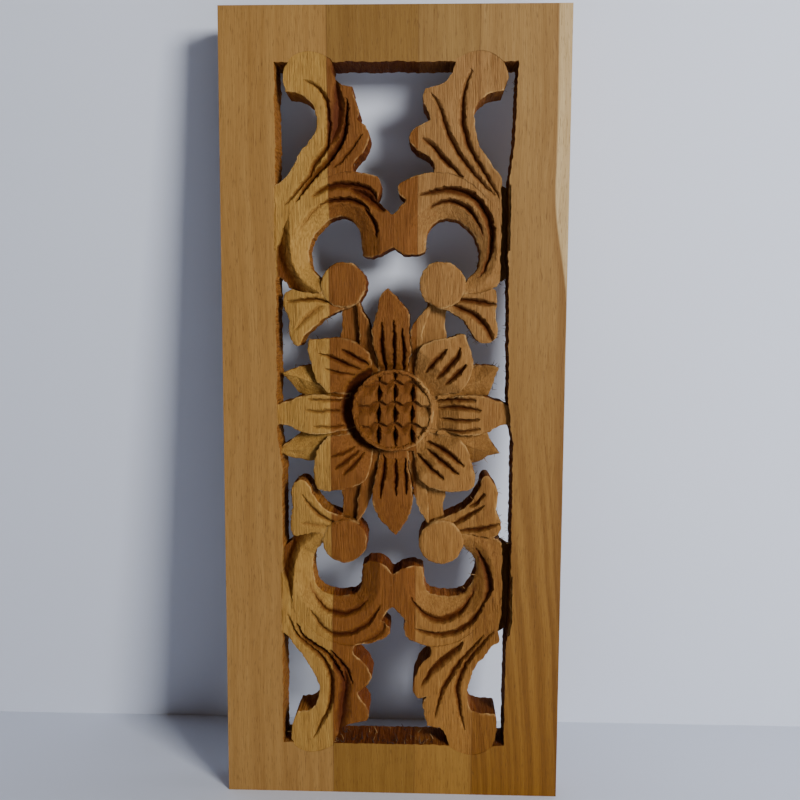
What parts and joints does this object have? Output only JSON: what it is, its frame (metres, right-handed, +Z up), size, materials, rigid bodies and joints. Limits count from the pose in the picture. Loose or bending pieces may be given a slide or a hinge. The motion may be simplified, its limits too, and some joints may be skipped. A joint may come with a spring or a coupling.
{
  "type": "carved fretwork grille",
  "caption": "Upright wooden fretwork panel with a plain border, a carved flower in the middle, and mirrored scrolls, buds and acanthus leaves above and below it.",
  "frame": {"origin": "on the flat back face, at the middle of the panel behind the flower", "axes": "+X across the panel to the right as seen from the front, +Y out of the back into what holds the panel, +Z up along the panel"},
  "size_m": [0.13, 0.015, 0.302],
  "materials": {
    "teak": "planed and carved, raw"
  },
  "bodies": {
    "root": {"carved_panel": "teak"}
  },
  "joints": []
}
